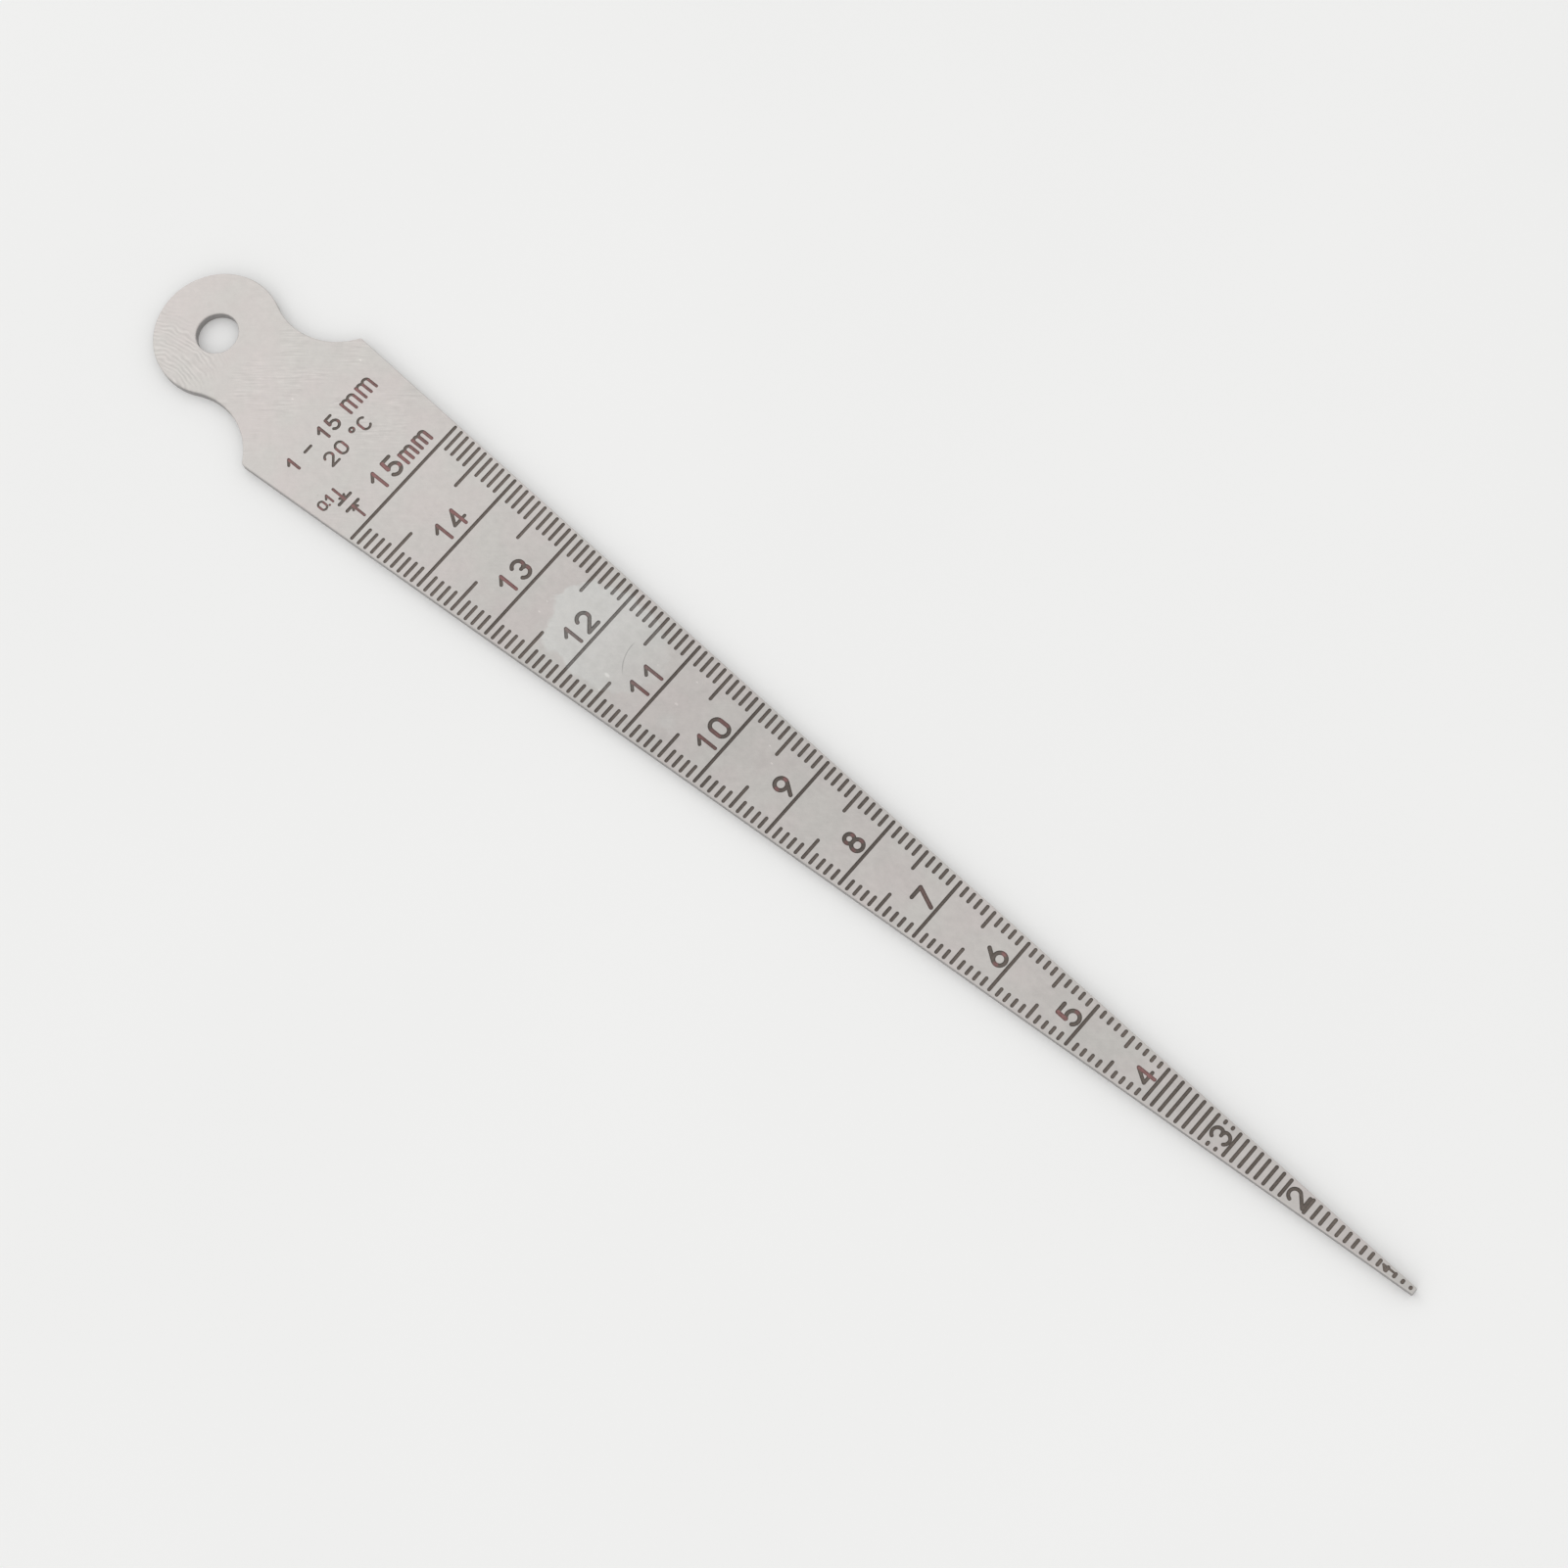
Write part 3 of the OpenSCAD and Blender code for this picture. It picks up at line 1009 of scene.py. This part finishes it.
    def polish(self, steel: Finish) -> Socket:
        """Draws slanting polishing strokes in patches, strongest between the neck and the scale.

        Args:
            steel: The material in the making.

        Returns:
            The pattern, from -1 to 1.
        """
        turned = steel.node("ShaderNodeVectorRotate", {
            "Vector": steel.place, "Angle": -math.radians(self.polish_turn),
        }, rotation_type="Z_AXIS").outputs[0]
        lines = steel.spread(steel.layer(self.polish_lines, turned), -1.0, 1.0)
        patches = steel.patches(self.polish_patches)
        ring_x, neck_x, head_x, scale_x = self.polish_x
        along = steel.math("SUBTRACT", steel.between(steel.x, self.polish_ring, 1.0, ring_x, neck_x),
                           steel.between(steel.x, 0.0, self.polish_drop, head_x, scale_x))
        return steel.fold("MULTIPLY", (lines, patches, along))

    def nicked(self, steel: Finish) -> Socket:
        """Draws small bright nicks.

        Args:
            steel: The material in the making.

        Returns:
            The pattern, 1 where there is a nick.
        """
        spots = []
        for x, y, radius in self.nicks:
            away = steel.away_from((x, y), (self.nick_squeeze, 1.0))
            spots.append(steel.between(away, 1.0, 0.0, radius / 2, radius))
        return steel.fold("ADD", spots)

    def scratch(self, steel: Finish) -> Socket:
        """Draws one short curved scratch in the film.

        Args:
            steel: The material in the making.

        Returns:
            The pattern, 1 where the scratch is.
        """
        off = steel.math("SUBTRACT", steel.away_from(self.scratch_middle), self.scratch_r)
        line = steel.between(steel.math("ABSOLUTE", off), 1.0, 0.0, self.scratch_w / 2, self.scratch_w)
        low, full_from, full_to, high = self.scratch_y
        rising = steel.between(steel.y, 0.0, 1.0, low, full_from)
        falling = steel.between(steel.y, 1.0, 0.0, full_to, high)
        left = steel.math("LESS_THAN", steel.x, self.scratch_middle[0])
        return steel.fold("MULTIPLY", (line, rising, falling, left))

    def material(self) -> bpy.types.Material:
        """Builds the material.

        Returns:
            The material.
        """
        steel = Finish("satin_steel")
        do = steel.math
        mottle, grain, strokes = map(steel.layer, (self.mottle, self.grain, self.strokes))
        clouds = ((steel.layer(self.cloud), self.cloud), (mottle, self.mottle),
                  (steel.layer(self.fine), self.fine), (grain, self.grain), (strokes, self.strokes))
        polish = self.polish(steel)

        # Starts from painted light and shade along the blade
        level = self.shine(steel)
        for pattern, layer in clouds:
            level = do("ADD", level, steel.spread(pattern, -layer.depth, layer.depth))
        for pattern, depth in (
            (self.arcs(steel), self.arcs_depth), (polish, self.polish_lines.depth),
            (self.nicked(steel), self.nick_depth), (self.scratch(steel), self.scratch_depth),
            (steel.specks(self.pale_specks), self.pale_specks.depth),
            (steel.specks(self.dark_specks), self.dark_specks.depth),
        ):
            level = do("MULTIPLY_ADD", pattern, depth, level)

        apart = steel.vector("ADD", steel.place, self.hue_shift).outputs[0]
        hue = steel.between(steel.layer(self.hue, apart), 0.0, 1.0, *self.hue_span)
        colour = steel.mix(hue, srgb(*self.warm), srgb(*self.cool))
        film = do("MULTIPLY", steel.hazes(self.films), self.film_share)
        colour = steel.mix(film, colour, srgb(*self.filmed))
        # Painted shade darkens the straight walls, where the mesh holds rim = 1
        colour = steel.mix(steel.attribute("rim"), colour, srgb(*self.ground))
        steel.feed(steel.shader.inputs["Base Color"], steel.dimmed(colour, level))
        steel.feed(steel.shader.inputs["Metallic"], 1.0)
        rough = do("ADD", steel.spread(mottle, -self.rough_depth, self.rough_depth),
                   steel.spread(strokes, -self.rough_depth, self.rough_depth))
        steel.feed(steel.shader.inputs["Roughness"], do("ADD", rough, self.roughness))
        lines = do("MULTIPLY_ADD", strokes, self.strokes_relief, do("MULTIPLY", grain, self.grain_relief))
        steel.bump(do("MULTIPLY_ADD", polish, self.polish_relief, lines), self.relief)
        return steel.result


@dataclass(frozen=True)
class EtchFinish:
    """Dark etched steel: olive grey, reddish where a stroke runs along the blade, with painted shade at its
    edges.
    """

    films: tuple[Haze, ...] = FILMS
    film_share: float = 0.6
    colour: Colour = (90, 82, 76)
    tinted: Colour = (122, 89, 87)
    filmed: Colour = (126, 124, 121)
    metallic: float = 0.35
    roughness: float = 0.6
    rough_depth: float = 0.1
    relief: float = 0.006
    speck: Layer = Layer(scale=5.0, detail=3.0, depth=0.25)
    cloud: Layer = Layer(scale=0.4, detail=2.0, depth=0.08)
    speck_span: Pair = (0.25, 0.75)
    tint_along: Pair = (0.88, 0.99)
    tint_least: float = 0.55
    tint_span: Pair = (0.3, 0.6)
    tint_x: Pair = (49.0, 54.0)
    # First and last level of each change along the blade, and where it starts and ends
    level_changes: tuple[Quad, ...] = (
        (1.22, 0.9, -45.0, -6.0), (1.0, 1.2, 20.0, 32.0), (1.0, 1.35, 62.0, 72.0),
    )
    # Painted shade at the edges of a stroke, lighter toward its middle: levels at the edge and the middle, and
    # the span of the core between them
    core_levels: Pair = (0.8, 1.12)
    core_span: Pair = (0.15, 0.7)
    short_level: float = 1.16

    def tint(self, etch: Finish, cloud: Socket) -> Socket:
        """Draws the tint of the strokes that run along the blade, apart from those near the tip.

        Args:
            etch: The material in the making.
            cloud: Its cloudy pattern, which breaks the tint up.

        Returns:
            How strong the tint is, from 0 to 1.
        """
        along = etch.between(etch.attribute("along"), 0.0, 1.0, *self.tint_along)
        broken = etch.between(cloud, self.tint_least, 1.0, *self.tint_span)
        headward = etch.between(etch.x, 1.0, 0.0, *self.tint_x)
        return etch.fold("MULTIPLY", (along, broken, headward))

    def material(self) -> bpy.types.Material:
        """Builds the material the first time it is asked for.

        Returns:
            The material.
        """
        name = "dark_etch"
        if name in bpy.data.materials:
            return bpy.data.materials[name]
        etch = Finish(name)
        do = etch.math
        speck, cloud = etch.layer(self.speck), etch.layer(self.cloud)
        specked = etch.between(speck, 1 - self.speck.depth, 1 + self.speck.depth, *self.speck_span)
        level = do("ADD", specked, etch.spread(cloud, -self.cloud.depth, self.cloud.depth))
        changes = [etch.between(etch.x, *change) for change in self.level_changes]
        # Painted shade at the edges of the strokes, lighter in their middles
        changes.append(etch.between(etch.attribute("core"), *self.core_levels, *self.core_span))
        changes.append(etch.between(etch.attribute("short"), 1.0, self.short_level))
        level = etch.fold("MULTIPLY", (level, *changes))
        colour = etch.mix(self.tint(etch, cloud), srgb(*self.colour), srgb(*self.tinted))
        film = do("MULTIPLY", etch.hazes(self.films), self.film_share)
        colour = etch.mix(film, colour, srgb(*self.filmed))
        etch.feed(etch.shader.inputs["Base Color"], etch.dimmed(colour, level))
        etch.feed(etch.shader.inputs["Metallic"], self.metallic)
        rough = etch.between(speck, self.roughness - self.rough_depth, self.roughness + self.rough_depth)
        etch.feed(etch.shader.inputs["Roughness"], rough)
        etch.bump(speck, self.relief)
        return etch.result


@dataclass
class GaugePlate:
    """The whole gauge: the sheet with its broken edges, and the strokes sunk into its upper face."""

    sheet: Sheet
    strokes: list[Stroke]
    etch_depth: float = 0.05
    edge_parts: int = 4
    sharp_from: float = 10.0
    merge_within: float = 0.001

    def wall(self, bm: bmesh.types.BMesh, loop: Loop) -> tuple[list[Vert], list[Vert]]:
        """Builds the wall of the sheet along an edge, rounded into both faces.

        Args:
            bm: The mesh in the making.
            loop: The edge, with the metal on its left.

        Returns:
            The rims of the wall on the lower and on the upper face.
        """
        size, top = self.sheet.edge_break, self.sheet.thickness
        turns = [math.pi / 2 * i / self.edge_parts for i in range(self.edge_parts + 1)]
        rise = [(size * (1 - math.sin(a)), size * (1 - math.cos(a))) for a in turns]
        section = rise + [(inset, top - z) for inset, z in reversed(rise)]
        rows = [[bm.verts.new((*p, z)) for p in moved_left(loop, inset)] for inset, z in section]
        rim = bm.faces.layers.float["rim"]
        for part, (low, high) in enumerate(zip(rows, rows[1:])):
            # The straight wall gets rim = 1, which the steel darkens with painted shade
            straight = float(part == self.edge_parts)
            for i in range(len(loop)):
                j = (i + 1) % len(loop)
                bm.faces.new((low[i], low[j], high[j], high[i]))[rim] = straight
        return rows[0], rows[-1]

    def face(self, bm: bmesh.types.BMesh, rims: list[list[Vert]], strokes: list[Stroke]) -> None:
        """Fills a face of the sheet, with the given strokes sunk into it.

        Args:
            bm: The mesh in the making.
            rims: Vertices of the outer rim and of the hole's rim.
            strokes: The strokes, which may overlap.
        """
        own = [v for rim in rims for v in rim]
        spots = [v.co.xy for v in own]
        # The areas are the sheet, the hole and then the strokes
        sheet, hole, first_stroke = range(3)
        areas = [list(range(len(rims[0]))), list(range(len(own) - 1, len(rims[0]) - 1, -1))]
        middles = []
        for stroke in strokes:
            edge = stroke.outline()
            areas.append(list(range(len(spots), len(spots) + len(edge))))
            spots += edge
            path = range(len(spots), len(spots) + len(stroke.path))
            middles += zip(path, path[1:])
            spots += stroke.path
        places, _, faces, sources, _, within = delaunay_2d_cdt(spots, middles, areas, 0, self.merge_within)

        height = own[0].co.z
        along, short = bm.faces.layers.float["along"], bm.faces.layers.float["short"]
        core = bm.verts.layers.float["core"]
        land_edges: set[tuple[int, int]] = set()
        sunk_edges: set[tuple[int, int]] = set()

        @functools.cache
        def on_land(i: int) -> Vert:
            """Vertex at the face's own height, which may be one of a rim's."""
            rim = [n for n in sources[i] if n < len(own)]
            return own[rim[0]] if rim else bm.verts.new((*places[i], height))

        @functools.cache
        def on_floor(i: int) -> Vert:
            """Vertex at the bottom of the etching."""
            return bm.verts.new((*places[i], height - self.etch_depth))

        for corners, inside in zip(faces, within):
            if sheet not in inside or hole in inside:
                continue
            edges = zip(corners, corners[1:] + corners[:1])
            crossed = [strokes[n - first_stroke] for n in inside if n >= first_stroke]
            if not crossed:
                land_edges.update(edges)
                made = [on_land(i) for i in corners]
                bm.faces.new(made if height > 0 else made[::-1])
                continue
            sunk_edges.update(edges)
            made = bm.faces.new([on_floor(i) for i in corners])
            made.material_index = Surface.ETCH.value
            made[along] = max(stroke.run_along(made.calc_center_median().xy) for stroke in crossed)
            made[short] = float(all(stroke.short for stroke in crossed))
            for v in made.verts:
                v[core] = max(v[core], *(stroke.core(v.co.xy) for stroke in crossed))
        for a, b in sorted(sunk_edges):
            if (b, a) in land_edges:
                side = bm.faces.new((on_land(a), on_land(b), on_floor(b), on_floor(a)))
                side.material_index = Surface.ETCH.value

    def build(self) -> bpy.types.Object:
        """Builds the gauge, dresses it and puts it in the place of its solid.

        Returns:
            The piece.
        """
        bm = bmesh.new()
        for name in ("rim", "along", "short"):
            bm.faces.layers.float.new(name)
        bm.verts.layers.float.new("core")
        outer = self.wall(bm, self.sheet.outline())
        inner = self.wall(bm, self.sheet.hole())
        self.face(bm, [outer[0], inner[0]], [])
        self.face(bm, [outer[1], inner[1]], self.strokes)
        for made in bm.faces:
            made.smooth = True
        bm.transform(Matrix.Scale(MM, 4))
        mesh = bpy.data.meshes.new("gauge_plate")
        bm.to_mesh(mesh)
        bm.free()
        mesh.set_sharp_from_angle(angle=math.radians(self.sharp_from))
        finishes = {Surface.STEEL: SteelFinish(), Surface.ETCH: EtchFinish()}
        for surface in Surface:
            mesh.materials.append(finishes[surface].material())
        plate = bpy.data.objects.new("gauge_plate", mesh)
        bpy.context.scene.collection.objects.link(plate)
        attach(plate, BODY)
        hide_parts(NODE)
        return plate


@dataclass(frozen=True)
class Softbox:
    """A square lamp that faces the gauge: its place and size in metres, and its power in watts."""

    place: Triple
    size: float
    power: float


@dataclass(frozen=True)
class Studio:
    """Camera, pale floor and soft light. Places are in metres."""

    camera_at: Triple = (0.101622, -0.050276, 0.292611)
    camera_right: Triple = (0.7420243, 0.65687883, -0.1338288)
    camera_down: Triple = (0.59322208, -0.73639015, -0.32529544)
    image_px: int = 1601
    focal_px: float = 3564.32
    sensor_mm: float = 36.0
    near_clip: float = 0.01
    floor_size: float = 4.0
    floor_drop: float = 0.00002
    floor_colour: Colour = (240, 240, 239)
    floor_cloud: Layer = Layer(scale=0.02, detail=2.0, depth=0.015)
    floor_roughness: float = 0.9
    floor_specular: float = 0.1
    sky_level: float = 0.92
    softboxes: tuple[Softbox, ...] = (
        Softbox(place=(-1.15, 0.20, 1.00), size=1.0, power=1.8),
        Softbox(place=(0.40, -0.90, 0.50), size=0.7, power=1.0),
    )

    def camera(self) -> bpy.types.Object:
        """Sets up the camera at the photograph's viewing angle.

        Returns:
            The camera.
        """
        right, down = Vector(self.camera_right).normalized(), Vector(self.camera_down)
        back = right.cross(-down).normalized()
        turn = Matrix((right, back.cross(right), back)).transposed().to_4x4()
        lens = bpy.data.cameras.new("camera")
        lens.sensor_width = self.sensor_mm
        lens.lens = self.focal_px * self.sensor_mm / self.image_px
        lens.clip_start = self.near_clip
        camera = bpy.data.objects.new("camera", lens)
        camera.matrix_world = Matrix.Translation(self.camera_at) @ turn
        bpy.context.scene.collection.objects.link(camera)
        bpy.context.scene.camera = camera
        bpy.context.scene.view_settings.view_transform = "Standard"
        return camera

    def floor(self) -> bpy.types.Object:
        """Lays the floor just under the gauge.

        Returns:
            The floor.
        """
        half = self.floor_size / 2
        mesh = bpy.data.meshes.new("floor")
        corners = [(x * half, y * half, -self.floor_drop) for x, y in ((-1, -1), (1, -1), (1, 1), (-1, 1))]
        mesh.from_pydata(corners, [], [(0, 1, 2, 3)])
        pale = Finish("pale_floor")
        shade = pale.spread(pale.layer(self.floor_cloud), 1 - self.floor_cloud.depth, 1.0)
        pale.feed(pale.shader.inputs["Base Color"], pale.dimmed(srgb(*self.floor_colour), shade))
        pale.feed(pale.shader.inputs["Roughness"], self.floor_roughness)
        pale.feed(pale.shader.inputs["Specular IOR Level"], self.floor_specular)
        mesh.materials.append(pale.result)
        floor = bpy.data.objects.new("floor", mesh)
        bpy.context.scene.collection.objects.link(floor)
        return floor

    def light(self) -> None:
        """Hangs the softboxes under an even pale sky."""
        for number, softbox in enumerate(self.softboxes):
            lamp = bpy.data.lights.new(f"softbox_{number}", "AREA")
            lamp.size = softbox.size
            lamp.energy = softbox.power
            box = bpy.data.objects.new(lamp.name, lamp)
            box.location = softbox.place
            box.rotation_euler = Vector(softbox.place).to_track_quat("Z", "Y").to_euler()
            bpy.context.scene.collection.objects.link(box)
        world = bpy.data.worlds.new("sky")
        world.use_nodes = True
        bpy.context.scene.world = world
        sky = NodeSketch(world.node_tree)
        back = sky.node("ShaderNodeBackground", {"Color": (1.0, 1.0, 1.0, 1.0), "Strength": self.sky_level})
        sky.node("ShaderNodeOutputWorld", {"Surface": back.outputs[0]})


def head_labels() -> list[Stroke]:
    """Lays out plain marks on the head: the range, the reference temperature and the value of one division.

    Returns:
        The strokes of the marks.
    """
    labels = (
        Label("1 - 15 mm", foot_x=-52.2, middle_y=0.0, height=1.75, stroke_w=0.3, gap=0.32),
        Label("20 oC", foot_x=-49.8, middle_y=-0.25, height=1.65, stroke_w=0.26, gap=0.3),
        Label("0.1", foot_x=-47.28, middle_y=-6.17, height=1.2, stroke_w=0.23, gap=-0.05),
    )
    return [s for label in labels for s in label.strokes()] + GapSign().strokes()


def main() -> None:
    """Builds the camera, the gauge and the studio in order."""
    logging.basicConfig(level=logging.INFO, format="%(name)s: %(message)s")
    studio = Studio()
    studio.camera()
    sheet = Sheet.from_frame()
    numbers = Numbers(sheet)
    lines = Graduations(sheet, numbers).strokes()
    LOG.info("scale: %d lines", len(lines))
    plate = GaugePlate(sheet, lines + numbers.strokes() + head_labels()).build()
    LOG.info("%s: %d faces", plate.name, len(plate.data.polygons))
    studio.floor()
    studio.light()


if __name__ == "__main__":
    main()
